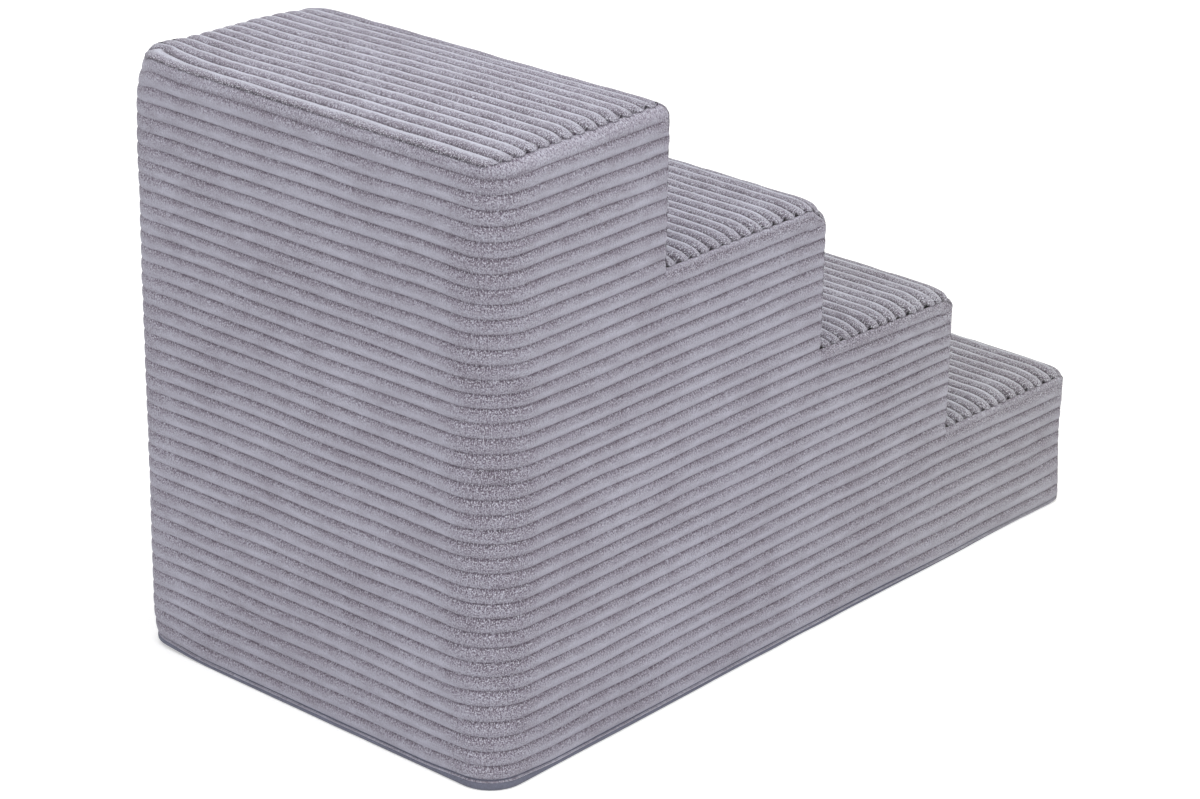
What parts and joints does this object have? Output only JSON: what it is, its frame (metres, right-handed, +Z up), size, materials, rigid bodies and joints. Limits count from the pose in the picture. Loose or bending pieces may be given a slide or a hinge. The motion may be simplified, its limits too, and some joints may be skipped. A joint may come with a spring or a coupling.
{
  "type": "pet stairs",
  "caption": "Stepped foam pet stairs in a thick corduroy cover with rounded noses, a plain fabric base panel and a long zip low on one side.",
  "frame": {"origin": "on the floor, under the middle of the stairs' length and width", "axes": "+X from the tall back face to the low front step, +Y to the long side that carries the zip, +Z up"},
  "size_m": [0.587, 0.308, 0.4002],
  "materials": {
    "foam": "open-cell upholstery foam, matte",
    "corduroy": "soft short-pile jumbo corduroy, lilac grey",
    "base_fabric": "plain woven cloth, slate grey, matte",
    "zip_tape": "woven polyester tape, matte",
    "zip_coil": "dyed monofilament, satin",
    "zip_metal": "painted cast metal, satin"
  },
  "bodies": {
    "stairs": {"foam_slab_1": "foam", "foam_slab_2": "foam", "foam_slab_3": "foam", "foam_slab_4": "foam", "wall_band": "corduroy", "step_strip": "corduroy", "base_panel": "base_fabric", "zip_tape_upper": "zip_tape", "zip_tape_lower": "zip_tape", "zip_coil_upper": "zip_coil", "zip_coil_lower": "zip_coil", "zip_top_stops": "zip_metal", "zip_bottom_stop": "zip_metal"},
    "slider": {"zip_slider": "zip_metal"},
    "pull": {"zip_pull": "zip_metal"}
  },
  "joints": [
    {"name": "zip_slide", "type": "slide", "parent": "stairs", "child": "slider", "axis": [-1, 0, 0], "range_m": [0, 0.4714]},
    {"name": "pull_swing", "type": "hinge", "parent": "slider", "child": "pull", "pos_m": [0.2547, 0.1522, 0.00831], "axis": [0, 0, -1], "range_deg": [0, 160]}
  ]
}
